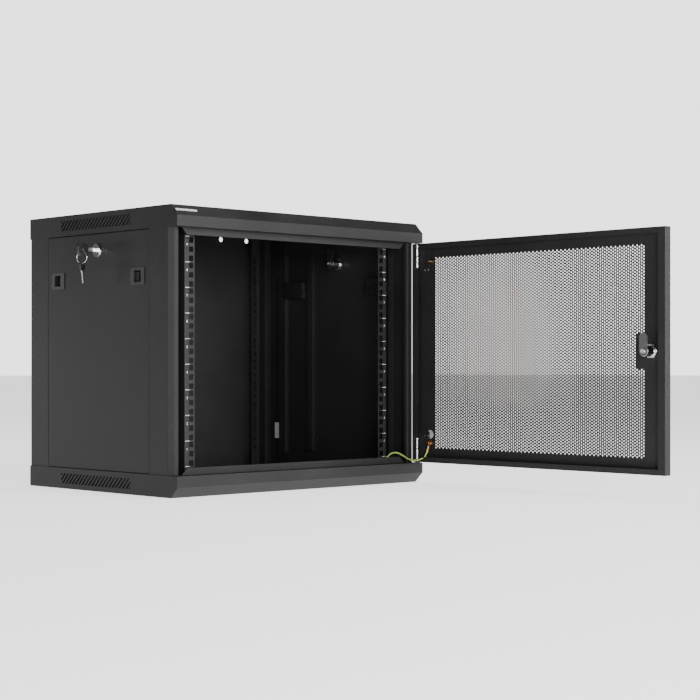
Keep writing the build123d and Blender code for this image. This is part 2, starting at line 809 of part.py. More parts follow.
def make_lock(prefix, place):
    """Barrel, plug, cam and cam screw of one lock."""
    head_across, head_rise = lock_head
    with BuildPart() as barrel:
        with BuildSketch(place):
            Circle(head_across / 2)
        extrude(amount=head_rise, taper=20)
        with BuildSketch(place):
            Circle(lock_body / 2)
        extrude(amount=-lock_depth)
        with BuildSketch(place.offset(head_rise)):
            Circle(lock_plug / 2 + lock_fit)
        extrude(amount=-lock_depth - head_rise, mode=Mode.SUBTRACT)
    keep(f"{prefix}_lock_barrel", barrel.part)

    with BuildPart() as plug:
        with BuildSketch(place.offset(head_rise)):
            Circle(lock_plug / 2)
        extrude(amount=-lock_depth - head_rise)
        with BuildSketch(place.offset(-lock_depth)):
            Rectangle(tang, tang)
        extrude(amount=-cam_gap - cam_sheet)
        with BuildSketch(place.offset(head_rise)):
            Rectangle(key_blade[0] + 2 * key_fit, key_blade[1] + 2 * key_fit)
        extrude(amount=-key_insertion - 2 * key_fit, mode=Mode.SUBTRACT)
    keep(f"{prefix}_lock_plug", plug.part)

    with BuildPart() as cam:
        with BuildSketch(place.offset(-cam_place)):
            with Locations((0, (cam_reach - cam_width / 2) / 2)):
                SlotOverall(cam_length, cam_width, rotation=90)
            Rectangle(tang + 2 * tang_fit, tang + 2 * tang_fit, mode=Mode.SUBTRACT)
        extrude(amount=-cam_sheet)
    keep(f"{prefix}_lock_cam", cam.part)

    with BuildPart() as cam_screw:
        with BuildSketch(place.offset(-cam_place - cam_sheet)):
            Circle(cam_screw_head[0] / 2)
        extrude(amount=-cam_screw_head[1], taper=12)
        with BuildSketch(place.offset(-cam_place - cam_sheet - cam_screw_head[1])):
            Rectangle(cam_screw_head[0] * 0.6, cam_screw_head[0] * 0.13)
            Rectangle(cam_screw_head[0] * 0.13, cam_screw_head[0] * 0.6)
        extrude(amount=cam_screw_head[1] / 2, mode=Mode.SUBTRACT)
    keep(f"{prefix}_cam_screw", cam_screw.part)


def make_lock_nuts(name, places):
    """Hexagon nuts against the inside of the sheet."""
    with BuildPart() as nuts:
        for place in places:
            with BuildSketch(place.offset(-sheet)):
                RegularPolygon(lock_nut / 2, 6, major_radius=False)
                Circle(lock_body / 2 + thread_fit, mode=Mode.SUBTRACT)
            extrude(amount=-lock_nut_height)
    keep(name, nuts.part)


door_lock_place = Plane(
    origin=door_plane.from_local_coords((door_lock_u, half_door, mid_z)),
    x_dir=(0, 1, 0),
    z_dir=(1, 0, 0),
)
left_lock_place = Plane(origin=(-post_x, side_lock_y, side_lock_z), x_dir=(0, -1, 0), z_dir=(-1, 0, 0))
right_lock_place = Plane(origin=(post_x, side_lock_y, side_lock_z), x_dir=(0, 1, 0), z_dir=(1, 0, 0))

make_lock("door", door_lock_place)
make_lock("left", left_lock_place)
make_lock("right", right_lock_place)
make_lock_nuts("door_lock_nut", [door_lock_place])
make_lock_nuts("panel_lock_nuts", [left_lock_place, right_lock_place])

# ---------------------------------------------------------------------------
# Keys: one in the left lock, a spare hanging from its ring
# ---------------------------------------------------------------------------

key_face_x = -post_x - lock_head[1]
key_far_x = key_face_x - key_neck - key_head[0]
key_hole_x = key_far_x + key_hole_inset
key_hole_z = side_lock_z - key_hole_drop

with BuildPart() as lock_key:
    with BuildSketch(Plane.XZ.offset(-side_lock_y - key_head[2] / 2)):
        with Locations(((key_far_x + key_face_x - key_neck) / 2, side_lock_z)):
            RectangleRounded(key_head[0], key_head[1], key_head[0] * 0.35)
    extrude(amount=key_head[2])
    fillet(lock_key.edges().filter_by(Plane.XZ), 0.8)
    with BuildSketch(Plane.XZ.offset(-side_lock_y - key_head[2] / 2)):
        with Locations((key_hole_x, key_hole_z)):
            Circle(key_hole / 2)
    extrude(amount=key_head[2], mode=Mode.SUBTRACT)
    with BuildSketch(Plane.YZ.offset(key_face_x - key_neck - 1)):
        with Locations((side_lock_y, side_lock_z)):
            Rectangle(key_blade[0], key_blade[1])
    extrude(amount=key_neck + 1 + key_insertion)
keep("lock_key", lock_key.part)

ring_radius = key_ring / 2
ring_top_z = key_hole_z - key_hole / 2 + key_ring_wire / 2 + ring_gap
ring_plane = Plane(
    origin=(key_hole_x, side_lock_y, ring_top_z - ring_radius),
    x_dir=(sin(radians(key_ring_turn)), cos(radians(key_ring_turn)), 0),
    z_dir=(-cos(radians(key_ring_turn)), sin(radians(key_ring_turn)), 0),
)
with BuildPart() as ring:
    with BuildSketch(Plane(origin=ring_plane.origin, x_dir=ring_plane.y_dir, z_dir=ring_plane.x_dir)):
        with Locations((ring_radius, 0)):
            Circle(key_ring_wire / 2)
    revolve(axis=Axis(ring_plane.origin, ring_plane.z_dir))
keep("key_ring", ring.part)

spare_hole_z = ring_top_z - key_ring - key_hole / 2 + key_ring_wire / 2 + ring_gap
spare_plane = Plane(
    origin=(key_hole_x, side_lock_y, spare_hole_z),
    x_dir=ring_plane.z_dir,
    z_dir=ring_plane.x_dir,
).rotated((0, 0, spare_tilt))
with BuildPart() as spare_key:
    spare_middle = key_hole / 2 + spare_hole_rim - spare_head[1] / 2
    with BuildSketch(spare_plane.offset(-spare_head[2] / 2)):
        with Locations((0, spare_middle)):
            RectangleRounded(spare_head[0], spare_head[1], spare_head[0] * 0.35)
    extrude(amount=spare_head[2])
    with BuildSketch(spare_plane.offset(-spare_head[2] / 2)):
        Circle(key_hole / 2)
    extrude(amount=spare_head[2], mode=Mode.SUBTRACT)
    with BuildSketch(spare_plane.offset(-key_blade[0] / 2)):
        with Locations((0, spare_middle - spare_head[1] / 2 - spare_blade / 2 + 0.5)):
            Rectangle(key_blade[1], spare_blade + 1)
    extrude(amount=key_blade[0])
keep("spare_key", spare_key.part)

# ---------------------------------------------------------------------------
# Door: folded pan, perforated field, hinge brackets and pins, earth studs
# ---------------------------------------------------------------------------


def door_box(low, high, mode=Mode.ADD):
    """Box in the door's own plane, between two corners."""
    with BuildSketch(door_plane.offset(low[2])) as base:
        with Locations(((low[0] + high[0]) / 2, (low[1] + high[1]) / 2)):
            Rectangle(high[0] - low[0], high[1] - low[1])
    extrude(base.sketch, amount=high[2] - low[2], mode=mode)


def door_face(inward):
    """Plane on a level of the door's thickness: x to the free edge, y up, z inwards."""
    return Plane(
        origin=door_plane.from_local_coords((0, inward, 0)),
        x_dir=(0, -1, 0),
        z_dir=(-1, 0, 0),
    )


mesh_low, mesh_high = body_low + door_gap + mesh_end_margin, body_high - door_gap - mesh_end_margin
mesh_start, mesh_end = mesh_hinge_margin, door_reach - mesh_free_margin


def mesh_outline():
    """Perforated field with the plain patch round the lock left out."""
    with Locations(((mesh_start + mesh_end) / 2, (mesh_low + mesh_high) / 2)):
        Rectangle(mesh_end - mesh_start, mesh_high - mesh_low)
    with Locations((mesh_end - mesh_notch[0] / 2, mid_z)):
        Rectangle(mesh_notch[0], mesh_notch[1], mode=Mode.SUBTRACT)


with BuildPart() as door_frame:
    door_box((-hinge_edge, -half_door, door_low), (door_reach, half_door, door_high))
    outer_skin = door_frame.faces().sort_by(Axis.X)[-1]
    fillet(outer_skin.edges() + door_frame.edges().filter_by(Axis.Z), bend_radius)
    door_box(
        (sheet - hinge_edge, -half_door, door_low + sheet),
        (door_reach - sheet, door_skin, door_high - sheet),
        Mode.SUBTRACT,
    )
    # inner lips, left out where the hinge pins show
    with BuildSketch(door_face(-half_door + sheet)):
        with Locations(((door_reach - hinge_edge) / 2, mid_z)):
            Rectangle(door_reach + hinge_edge - sheet, door_high - door_low - sheet)
        with Locations(((door_reach - hinge_edge) / 2, mid_z)):
            Rectangle(
                door_reach + hinge_edge - 2 * door_side_lip,
                door_high - door_low - 2 * door_end_lip,
                mode=Mode.SUBTRACT,
            )
        for z in (door_low + hinge_window / 2, door_high - hinge_window / 2):
            with Locations((door_side_lip / 2 - hinge_edge + sheet, z)):
                Rectangle(door_side_lip, hinge_window, mode=Mode.SUBTRACT)
        for z in (door_low + door_end_lip / 2, door_high - door_end_lip / 2):
            with Locations((end_lip_start / 2, z)):
                Rectangle(end_lip_start, door_end_lip, mode=Mode.SUBTRACT)
    extrude(amount=sheet)
    # window for the perforated field
    with BuildSketch(door_face(half_door)):
        mesh_outline()
    extrude(amount=sheet, mode=Mode.SUBTRACT)
    with BuildSketch(door_face(half_door)):
        with Locations((door_lock_u, mid_z)):
            Circle(lock_body / 2 + thread_fit)
    extrude(amount=sheet, mode=Mode.SUBTRACT)
    for z in (door_low, door_high - sheet):
        with BuildSketch(door_plane.offset(z)):
            Circle(hinge_pin / 2 + thread_fit)
        extrude(amount=sheet, mode=Mode.SUBTRACT)
keep("door_frame", door_frame.part)

with BuildPart() as door_mesh:
    with BuildSketch(door_face(half_door)):
        mesh_outline()
    extrude(amount=sheet)
keep("door_mesh", door_mesh.part)

# Each end of the door, and the way from there to the door's middle
door_ends = ((door_low + sheet, 1), (door_high - sheet, -1))
bracket_low = sheet - hinge_edge + seam
ear_depth = hinge_pin / 2 + bracket_sheet


def span(end_z, way, start, stop):
    """Lower and upper level of a stretch counted from a door end."""
    return sorted((end_z + way * start, end_z + way * stop))


with BuildPart() as hinge_brackets:
    for end_z, way in door_ends:
        low, high = span(end_z, way, 0, bracket_height)
        door_box(
            (bracket_low, door_skin - bracket_sheet, low),
            (bracket_low + bracket_width, door_skin, high),
        )
        for rise in (0, hinge_ear_gap + bracket_sheet):
            low, high = span(end_z, way, rise, rise + bracket_sheet)
            door_box((bracket_low, -ear_depth, low), (ear_depth, door_skin, high))
            with BuildSketch(door_plane.offset(low)):
                Circle(hinge_pin / 2 + thread_fit)
            extrude(amount=bracket_sheet, mode=Mode.SUBTRACT)
keep("hinge_brackets", hinge_brackets.part)

with BuildPart() as hinge_pins:
    for end_z, way in door_ends:
        low, high = span(
            end_z, way, -sheet - door_gap - pin_reach, hinge_ear_gap + 2 * bracket_sheet + pin_tail
        )
        with BuildSketch(door_plane.offset(low)):
            Circle(hinge_pin / 2)
        extrude(amount=high - low)
        low, high = span(end_z, way, bracket_sheet, bracket_sheet + pin_collar[1])
        with BuildSketch(door_plane.offset(low)):
            Circle(pin_collar[0] / 2)
        extrude(amount=high - low)
    chamfer(hinge_pins.edges().filter_by(GeomType.CIRCLE).group_by(Axis.Z)[0], 0.5)
    chamfer(hinge_pins.edges().filter_by(GeomType.CIRCLE).group_by(Axis.Z)[-1], 0.5)
keep("hinge_pins", hinge_pins.part)

with BuildPart() as hinge_rivets:
    for end_z, way in door_ends:
        with BuildSketch(door_face(door_skin - bracket_sheet)):
            with Locations(*[(u, end_z + way * hinge_rivet_rise) for u in hinge_rivets_u]):
                Circle(rivet / 2)
        extrude(amount=rivet_head_height, taper=20)
keep("hinge_rivets", hinge_rivets.part)

with BuildPart() as hinge_bushes:
    for frame_edge, way in ((body_low, 1), (body_high, -1)):
        low, high = sorted((frame_edge - way * (sheet + 1), frame_edge))
        with BuildSketch(door_plane.offset(low)):
            Circle(bush_body / 2)
        extrude(amount=high - low)
        low, high = sorted((frame_edge, frame_edge + way * bush_flange[1]))
        with BuildSketch(door_plane.offset(low)):
            Circle(bush_flange[0] / 2)
        extrude(amount=high - low)
    for frame_edge, way in ((body_low, 1), (body_high, -1)):
        with BuildSketch(door_plane.offset(frame_edge - way * 2 * (sheet + 1))):
            Circle(hinge_pin / 2 + hinge_fit)
        extrude(amount=way * 4 * (sheet + 1), mode=Mode.SUBTRACT)
keep("hinge_bushes", hinge_bushes.part)

# ---------------------------------------------------------------------------
# Earth studs, nuts, lugs and the wire between the door and the base
# ---------------------------------------------------------------------------

door_lug_v = door_skin - door_lug_stand
lug_inner_v = door_lug_v + lug_sheet / 2
cabinet_lug_z = sheet + earth_nut_height

with BuildPart() as door_studs:
    with BuildSketch(door_face(door_skin)):
        with Locations(*[(door_stud_reach, z) for z in door_studs_z]):
            Circle(earth_stud / 2)
    extrude(amount=earth_stud_length)
keep("door_studs", door_studs.part)

with BuildPart() as cabinet_earth_stud:
    with BuildSketch():
        with Locations(cabinet_stud):
            Circle(earth_stud / 2)
    extrude(amount=earth_stud_length)
keep("cabinet_earth_stud", cabinet_earth_stud.part)


def make_nuts(name, place, gap):
    """Two hexagon nuts with a lug between them: z points away from the sheet."""
    with BuildPart() as nuts:
        for start in (gap, gap + earth_nut_height + lug_sheet):
            with BuildSketch(place.offset(start)):
                RegularPolygon(earth_nut / 2, 6, major_radius=False)
                Circle(earth_stud / 2 + thread_fit, mode=Mode.SUBTRACT)
            extrude(amount=earth_nut_height)
    keep(name, nuts.part)


door_stud_face = door_face(door_skin)
door_nuts_place = Plane(
    origin=door_stud_face.from_local_coords((door_stud_reach, door_studs_z[0], 0)),
    x_dir=(0, -1, 0),
    z_dir=(-1, 0, 0),
)
make_nuts("door_earth_nuts", door_nuts_place, door_skin - lug_inner_v - earth_nut_height)
make_nuts("cabinet_earth_nuts", Plane(origin=(*cabinet_stud, sheet)), 0)

lug_way = Plane(
    origin=door_plane.from_local_coords((door_stud_reach, door_lug_v, door_studs_z[0])),
    x_dir=(0, sin(radians(door_lug_angle)), -cos(radians(door_lug_angle))),
    z_dir=(-1, 0, 0),
)
with BuildPart() as door_lug:
    with BuildSketch(lug_way.offset(-lug_sheet / 2)):
        Circle(lug_ring / 2)
        with Locations((lug_reach / 2 + 1, 0)):
            Rectangle(lug_reach + 2, lug_barrel[0])
        Circle(earth_stud / 2 + thread_fit, mode=Mode.SUBTRACT)
    extrude(amount=lug_sheet)
    with BuildSketch(Plane(origin=lug_way.from_local_coords((lug_reach, 0, 0)), z_dir=lug_way.x_dir)):
        Circle(lug_barrel[0] / 2)
    extrude(amount=lug_barrel[1])
keep("door_earth_lug", door_lug.part)

with BuildPart() as cabinet_lug:
    with BuildSketch(Plane.XY.offset(cabinet_lug_z)):
        with Locations(cabinet_stud):
            Circle(lug_ring / 2)
            with Locations((lug_reach / 2 + 1, 0)):
                Rectangle(lug_reach + 2, lug_barrel[0])
            Circle(earth_stud / 2 + thread_fit, mode=Mode.SUBTRACT)
        with Locations(wire_points[-1][:2]):
            Circle(lug_barrel[0] / 2)
    extrude(amount=lug_sheet)
    with BuildSketch(Plane.XY.offset(cabinet_lug_z)):
        with Locations(wire_points[-1][:2]):
            Circle(lug_barrel[0] / 2)
    extrude(amount=wire_points[-1][2] - seam / 2 - cabinet_lug_z)
keep("cabinet_earth_lug", cabinet_lug.part)

# Every bend is as wide as its two runs allow.
route = [Vector(*point) for point in wire_points]
wire_radii = []
for before, corner, after in zip(route, route[1:], route[2:]):
    turn = (corner - before).get_angle(after - corner)
    run = min((corner - before).length, (after - corner).length)
    wire_radii.append(0.45 * run / tan(radians(turn) / 2))
print("wire radii", [round(radius, 1) for radius in wire_radii])

with BuildPart() as earth_wire:
    with BuildLine() as wire_path:
        FilletPolyline(*wire_points, radius=wire_radii)
    with BuildSketch(Plane(origin=wire_path.line @ 0, z_dir=wire_path.line % 0)):
        Circle(wire_diameter / 2)
    sweep()
keep("earth_wire", earth_wire.part)
wire_length = wire_path.wires()[0].length
print("wire length", round(wire_length, 1))
print("wire volume over section times length", earth_wire.part.volume / (pi * wire_diameter**2 / 4 * wire_length))
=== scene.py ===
import json
from math import cos, pi, radians, sin

import bmesh
import bpy
from mathutils import Matrix, Vector


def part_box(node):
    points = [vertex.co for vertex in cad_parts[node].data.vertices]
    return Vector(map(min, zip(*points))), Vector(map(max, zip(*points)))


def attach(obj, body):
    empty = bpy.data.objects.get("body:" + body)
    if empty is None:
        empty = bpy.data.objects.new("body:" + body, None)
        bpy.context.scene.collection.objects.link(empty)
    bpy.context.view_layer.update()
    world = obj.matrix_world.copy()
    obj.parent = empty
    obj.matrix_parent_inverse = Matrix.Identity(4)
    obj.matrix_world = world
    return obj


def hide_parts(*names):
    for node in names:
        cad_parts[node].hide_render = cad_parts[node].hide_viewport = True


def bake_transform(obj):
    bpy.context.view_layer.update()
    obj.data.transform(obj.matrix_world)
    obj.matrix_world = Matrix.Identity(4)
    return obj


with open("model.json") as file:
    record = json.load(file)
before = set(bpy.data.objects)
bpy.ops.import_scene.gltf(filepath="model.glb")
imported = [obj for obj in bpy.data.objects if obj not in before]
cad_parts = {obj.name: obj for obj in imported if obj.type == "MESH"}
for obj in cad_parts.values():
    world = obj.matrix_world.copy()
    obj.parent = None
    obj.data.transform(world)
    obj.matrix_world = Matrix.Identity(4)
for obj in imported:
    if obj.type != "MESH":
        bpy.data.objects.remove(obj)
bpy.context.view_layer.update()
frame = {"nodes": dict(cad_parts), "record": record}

print("frame loaded")

# camera, level with the lower half of the cabinet
cameraView = {
    "place": (-2.0549, -2.4812, 0.2260),
    "turn": (90.0, 0.0, -43.671),
    "lens": 86.5,
    "shift": (0.0030, 0.0222),
}


def addCamera(view):
    data = bpy.data.cameras.new("camera")
    data.sensor_width = 36.0
    data.lens = view["lens"]
    data.shift_x, data.shift_y = view["shift"]
    camera = bpy.data.objects.new("camera", data)
    camera.location = view["place"]
    camera.rotation_euler = [radians(angle) for angle in view["turn"]]
    bpy.context.collection.objects.link(camera)
    bpy.context.scene.camera = camera


addCamera(cameraView)
print("camera placed")


class Socket:  # an output that sums and products can be written on
    def __init__(self, paint, socket):
        self.paint, self.socket = paint, socket

    def sum(self, operation, *values):
        return self.paint.node("Math", {"operation": operation}, dict(enumerate(values)))

    def __add__(self, other):
        return self.sum("ADD", self, other)

    def __sub__(self, other):
        return self.sum("SUBTRACT", self, other)

    def __rsub__(self, other):
        return self.sum("SUBTRACT", other, self)

    def __mul__(self, other):
        return self.sum("MULTIPLY", self, other)

    def __gt__(self, other):
        return self.sum("GREATER_THAN", self, other)

    def __lt__(self, other):
        return self.sum("LESS_THAN", self, other)

    __radd__, __rmul__ = __add__, __mul__


class Paint:  # one material and the nodes in it
    def __init__(self, name, fixed):
        self.material = bpy.data.materials.new(name)
        self.material.use_nodes = True
        self.tree = self.material.node_tree
        self.shader = self.tree.nodes["Principled BSDF"]
        for socket, value in fixed.items():
            self.shader.inputs[socket].default_value = value

    def node(self, kind, settings=None, inputs=None, output=0):
        made = self.tree.nodes.new("ShaderNode" + kind)
        for key, value in (settings or {}).items():
            if key == "stops":
                elements = made.color_ramp.elements
                while len(elements) < len(value):
                    elements.new(0.5)
                for element, (place, level) in zip(elements, value):
                    element.position = place
                    element.color = (level, level, level, 1)
            else:
                setattr(made, key, value)
        for key, value in (inputs or {}).items():
            if isinstance(value, Socket):
                self.tree.links.new(value.socket, made.inputs[key])
            else:
                made.inputs[key].default_value = value
        return Socket(self, made.outputs[output])

    def place(self, stretch=(1, 1, 1)):
        point = self.node("TexCoord", output="Object")
        return self.node("Mapping", inputs={"Vector": point, "Scale": stretch})

    def noise(self, scale, detail=3.0, roughness=0.5, stretch=(1, 1, 1)):
        return self.node("TexNoise", inputs={
            "Vector": self.place(stretch), "Scale": scale, "Detail": detail, "Roughness": roughness,
        })

    def ramp(self, factor, *stops):
        return self.node("ValToRGB", {"stops": stops}, {"Fac": factor})

    def mix(self, mask, low, high):
        return self.node("Mix", {"data_type": "RGBA"}, {0: mask, 6: low, 7: high}, 2)

    def bump(self, heightMap, strength, distance):
        return self.node("Bump", inputs={
            "Height": heightMap, "Strength": strength, "Distance": distance,
        })

    def feed(self, links):
        for socket, value in links.items():
            self.tree.links.new(value.socket, self.shader.inputs[socket])
        return self.material


def grey(level, tint=0.0):
    return (level, level, level + tint, 1)


coat = {
    "dark": grey(0.0150, 0.0005),
    "light": grey(0.0210, 0.0007),
    "dust": grey(0.075, -0.004),
    "grain": 1500.0,
    "gloss": (0.40, 0.48),
}


def coatPaint(name, settings, sheen=0.0):  # fine-textured black powder coat
    paint = Paint(name, {"IOR": 1.5, "Specular IOR Level": 0.15})
    grain = paint.noise(settings["grain"], 2.0, 0.6)
    patches = paint.noise(7.0, 4.0, 0.6)
    specks = paint.ramp(paint.noise(420.0, 2.0, 0.5), (0.62, 0), (0.74, 1))
    upwards = paint.node("SeparateXYZ", inputs={
        "Vector": paint.node("NewGeometry", output="Normal"),
    }, output=2)
    settled = paint.ramp(upwards, (0.55, 0), (1.0, 1)) * paint.ramp(patches, (0.35, 0.15), (0.75, 0.6))
    colour = paint.mix(paint.ramp(patches * 0.7 + grain * 0.3, (0.35, 0), (0.65, 1)),
                       settings["dark"], settings["light"])
    colour = paint.mix(specks * 0.25 + settled * 0.5, colour, settings["dust"])
    low, high = settings["gloss"]
    rough = paint.ramp(patches, (0.3, low - sheen), (0.7, high - sheen))
    return paint.feed({
        "Base Color": colour,
        "Roughness": rough + specks * 0.1 + settled * 0.2,
        "Normal": paint.bump(grain + paint.noise(520.0, 2.0) * 0.6, 0.30, 0.00006),
    })


def metalPaint(name, tones, gloss, scratch, grain=(1, 1, 1), coatWeight=0.0):
    paint = Paint(name, {"Metallic": 1.0, "Coat Weight": coatWeight, "Coat Roughness": 0.1})
    lines = paint.noise(900.0, 3.0, 0.65, grain)
    clouds = paint.noise(160.0, 4.0, 0.6)
    cells = paint.node("TexVoronoi", inputs={"Vector": paint.place(), "Scale": 420.0}, output=0)
    colour = paint.mix(paint.ramp(clouds * 0.6 + cells * 0.4, (0.25, 0), (0.7, 1)), tones[0], tones[1])
    return paint.feed({
        "Base Color": colour,
        "Roughness": paint.ramp(lines * 0.5 + clouds * 0.5, (0.35, gloss[0]), (0.65, gloss[1])),
        "Normal": paint.bump(lines, scratch, 0.00004),
    })


def plasticPaint(name, dark, light, gloss, grain=1100.0):
    paint = Paint(name, {"IOR": 1.46})
    skin = paint.noise(grain, 3.0, 0.6)
    wear = paint.noise(90.0, 4.0, 0.6)
    rubbed = paint.ramp(wear, (0.45, 0), (0.75, 1))
    return paint.feed({
        "Base Color": paint.mix(rubbed, dark, light),
        "Roughness": paint.ramp(wear, (0.3, gloss[0]), (0.7, gloss[1])),
        "Normal": paint.bump(skin, 0.25, 0.00005),
    })


def insulationPaint(name, stripe):  # yellow and green, on the wire's own attribute
    paint = Paint(name, {"IOR": 1.5})
    side = paint.node("Attribute", {"attribute_name": "stripe"}, output="Fac")
    edge = side + paint.noise(300.0) * 0.12
    band = paint.ramp(edge, (stripe["from"], 0), (stripe["from"] + 0.05, 1))
    scuffs = paint.ramp(paint.noise(700.0, 4.0), (0.5, 0), (0.8, 1))
    colour = paint.mix(band, stripe["yellow"], stripe["green"])
    return paint.feed({
        "Base Color": paint.mix(scuffs * 0.35, colour, stripe["scuff"]),
        "Roughness": paint.ramp(scuffs, (0.0, 0.38), (1.0, 0.6)),
        "Normal": paint.bump(paint.noise(1500.0, 2.0), 0.2, 0.00004),
    })


paints = {
    "black_coat": coatPaint("blackCoat", coat),
    "railCoat": coatPaint("railCoat", coat, 0.04),
    "black_screw": plasticPaint("blackScrew", grey(0.012), grey(0.035), (0.28, 0.42)),
    "zinc_steel": metalPaint("zincSteel", (grey(0.46, 0.01), grey(0.66, 0.0)), (0.22, 0.40), 0.35),
    "camZinc": metalPaint("camZinc", (grey(0.13, 0.003), grey(0.20, 0.0)), (0.34, 0.48), 0.35),
    "lock_chrome": metalPaint("lockChrome", (grey(0.74, 0.01), grey(0.84, 0.01)), (0.07, 0.17), 0.12),
    "copper_stud": metalPaint(
        "copperStud", ((0.62, 0.30, 0.13, 1), (0.86, 0.52, 0.26, 1)), (0.22, 0.38), 0.3, (1, 1, 6)
    ),
    "black_plastic": plasticPaint("blackPlastic", grey(0.010), grey(0.022), (0.34, 0.50)),
    "badge_silver": plasticPaint("badgeSilver", grey(0.62), grey(0.78), (0.24, 0.36)),
    "earth_insulation": insulationPaint("earthInsulation", {
        "from": 0.62, "yellow": (0.62, 0.62, 0.10, 1), "green": (0.20, 0.36, 0.06, 1),
        "scuff": (0.66, 0.68, 0.42, 1),
    }),
    "white_print": plasticPaint("whitePrint", grey(0.78), grey(0.62, 0.01), (0.45, 0.6), 600.0),
    "labelPaper": plasticPaint("labelPaper", grey(0.42, 0.015), grey(0.30, 0.01), (0.5, 0.65), 600.0),
}
print("materials made")


def finishPiece(bm, name, paint, body=None, smooth=False, turnOut=True):
    if turnOut:
        bmesh.ops.recalc_face_normals(bm, faces=bm.faces[:])
    for face in bm.faces:
        face.smooth = smooth
    mesh = bpy.data.meshes.new(name)
    bm.to_mesh(mesh)
    bm.free()
    mesh.materials.append(paints[paint])
    piece = bpy.data.objects.new(name, mesh)
    bpy.context.collection.objects.link(piece)
    if body:
        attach(piece, body)
    return piece


def vertsOf(geom):
    return [part for part in geom if isinstance(part, bmesh.types.BMVert)]


def edgesOf(geom):
    return [part for part in geom if isinstance(part, bmesh.types.BMEdge)]


# earth wire, from the door's lower stud down to the base
earthWire = {
    "points": (
        (0.2900, -0.2468, 0.0633),
        (0.2900, -0.2422, 0.0507),
        (0.2865, -0.2305, 0.0446),
        (0.2815, -0.2190, 0.0429),
        (0.2755, -0.2095, 0.0446),
        (0.2700, -0.2010, 0.0515),
        (0.2620, -0.1945, 0.0574),
        (0.2505, -0.1905, 0.0580),
        (0.2395, -0.1886, 0.0515),
        (0.2320, -0.1878, 0.0405),
        (0.2286, -0.1875, 0.0280),
        (0.2280, -0.1875, 0.0157),
    ),
    "diameter": 0.0032,
    "length": 0.137,
    "sides": 14,
    "twist": 2.2,
}


def splineLine(points):
    curve = bpy.data.curves.new("earthRoute", "CURVE")
    curve.dimensions = "3D"
    spline = curve.splines.new("NURBS")
    spline.points.add(len(points) - 1)
    for point, place in zip(spline.points, points):
        point.co = (*place, 1)
    spline.order_u = 3
    spline.use_endpoint_u = True
    spline.resolution_u = 8
    holder = bpy.data.objects.new("earthRoute", curve)
    bpy.context.collection.objects.link(holder)
    bpy.context.view_layer.update()
    mesh = bpy.data.meshes.new_from_object(holder)
    line = [vertex.co.copy() for vertex in mesh.vertices]
    bpy.data.objects.remove(holder)
    return line


def ringPlaces(line):  # one turned frame for each point, with no twist between them
    ways = [(after - before).normalized() for before, after in zip(line, line[1:])]
    ways = [ways[0]] + [(a + b).normalized() for a, b in zip(ways, ways[1:])] + [ways[-1]]
    turn = ways[0].to_track_quat("Z", "Y")
    places = []
    for point, way, last in zip(line, ways, [ways[0]] + ways):
        turn = last.rotation_difference(way) @ turn
        places.append(Matrix.Translation(point) @ turn.to_matrix().to_4x4())
    return places


def addEarthWire(settings):
    line = splineLine(settings["points"])
    places = ringPlaces(line)
    bm = bmesh.new()
    stripe = bm.verts.layers.float.new("stripe")
    around = bm.verts.layers.float.new("around")
    ring = bmesh.ops.create_circle(
        bm, segments=settings["sides"], radius=settings["diameter"] / 2, matrix=places[0]
    )["verts"]
    edges = bm.edges[:]
    for index, vertex in enumerate(ring):
        vertex[around] = 2 * pi * index / len(ring)
    for step, (last, place) in enumerate(zip(places, places[1:])):
        made = bmesh.ops.extrude_edge_only(bm, edges=edges)["geom"]
        bmesh.ops.transform(bm, matrix=place @ last.inverted(), verts=vertsOf(made))
        edges = edgesOf(made)
        for vertex in vertsOf(made):
            vertex[stripe] = 0.5 + 0.5 * cos(vertex[around] + settings["twist"] * (step + 1) / len(line))
    for vertex in ring:
        vertex[stripe] = 0.5 + 0.5 * cos(vertex[around])
    bmesh.ops.holes_fill(bm, edges=[edge for edge in bm.edges if edge.is_boundary], sides=0)
    piece = finishPiece(bm, "earthWire", "earth_insulation", smooth=True)
    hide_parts("earth_wire")
    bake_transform(piece)


addEarthWire(earthWire)
print("earth wire made")

# perforated field of the door: staggered round holes
perforation = {
    "columns": 106,
    "rows": 69,
    "hole": 0.0034,
    "sides": 12,
    "notchColumns": 4,
    "notchRows": 11,
    "parts": (26, 26, 26, 28),
}


def repeat(bm, geom, step, count):
    made = list(geom)
    for index in range(1, count):
        copy = bmesh.ops.duplicate(bm, geom=geom)["geom"]
        bmesh.ops.translate(bm, vec=step * index, verts=vertsOf(copy))
        made += copy
    return made


def addPlate(bm, low, high, thick):  # both skins of a plain stretch of one column
    middle, size = (low + high) / 2, high - low
    made = []
    for level in (0, thick):
        place = Matrix.Translation((middle.x, middle.y, level)) @ Matrix.Diagonal((size.x, size.y, 1, 1))
        made += bmesh.ops.create_grid(bm, x_segments=1, y_segments=1, size=0.5, matrix=place)["verts"]
    return withParts(made)


def withParts(verts):
    edges = {edge for vertex in verts for edge in vertex.link_edges}
    faces = {face for vertex in verts for face in vertex.link_faces}
    return list(verts) + list(edges) + list(faces)


